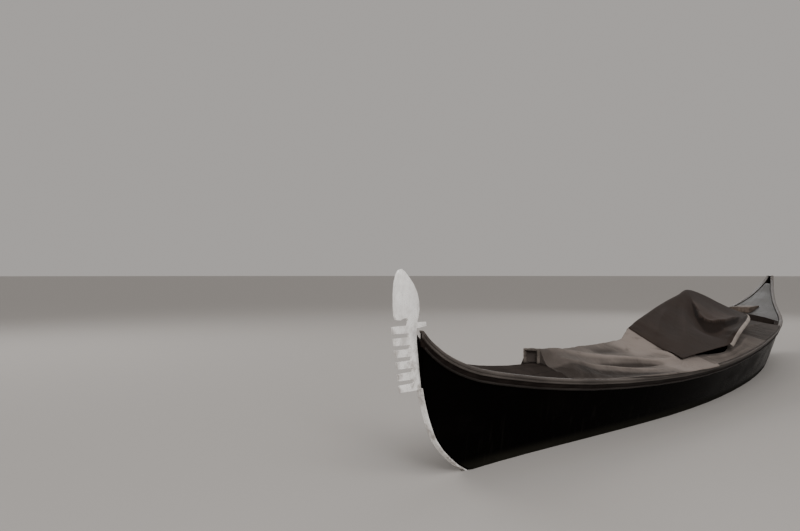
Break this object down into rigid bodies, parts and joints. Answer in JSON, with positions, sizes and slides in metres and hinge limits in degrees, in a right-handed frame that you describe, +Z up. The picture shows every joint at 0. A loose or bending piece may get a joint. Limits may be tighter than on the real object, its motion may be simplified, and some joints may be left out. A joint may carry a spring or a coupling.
{
  "type": "gondola",
  "caption": "Long black flat-bottomed rowing boat with upswept ends, a toothed bow iron, decks fore and aft, and canvas covers over its seats, laid up afloat.",
  "frame": {"origin": "on the waterline, amidships, on the line from stem to stern post", "axes": "+X forward to the bow, +Y to port, +Z up"},
  "size_m": [11.0973, 1.4775, 1.5639],
  "materials": {
    "hull_lacquer": "gloss black lacquer on wood",
    "strake_lacquer": "dark varnish",
    "moulding": "pale painted moulding, worn",
    "deck_lacquer": "black lacquer",
    "inner_wood": "worn boards",
    "bright_iron": "polished iron",
    "fore_canvas": "grey canvas",
    "tent_canvas": "dark taupe canvas"
  },
  "bodies": {
    "root": {"bottom_planking_fore": "hull_lacquer", "bottom_planking_middle": "hull_lacquer", "bottom_planking_aft": "hull_lacquer", "side_planking_fore_port": "hull_lacquer", "side_planking_middle_port": "hull_lacquer", "side_planking_aft_port": "hull_lacquer", "side_planking_fore_starboard": "hull_lacquer", "side_planking_middle_starboard": "hull_lacquer", "side_planking_aft_starboard": "hull_lacquer", "stem_post": "hull_lacquer", "stern_post": "hull_lacquer", "sheer_strake_port": "strake_lacquer", "sheer_strake_starboard": "strake_lacquer", "top_moulding_port": "moulding", "top_moulding_starboard": "moulding", "lower_moulding_port": "moulding", "lower_moulding_starboard": "moulding", "inwale_port": "deck_lacquer", "inwale_starboard": "deck_lacquer", "foredeck": "deck_lacquer", "aft_deck": "deck_lacquer", "fore_coaming": "deck_lacquer", "aft_coaming": "deck_lacquer", "fore_thwart": "deck_lacquer", "aft_thwart": "deck_lacquer", "rowlock_block": "deck_lacquer", "frames": "inner_wood", "floorboards": "inner_wood", "stern_platform": "inner_wood", "cover_prop": "inner_wood", "bow_iron": "bright_iron", "stern_iron": "bright_iron", "seat_bench": "deck_lacquer", "seat_back": "deck_lacquer", "fore_cover": "fore_canvas", "aft_cover": "fore_canvas", "side_flap": "fore_canvas", "tent_cover": "tent_canvas"}
  },
  "joints": []
}
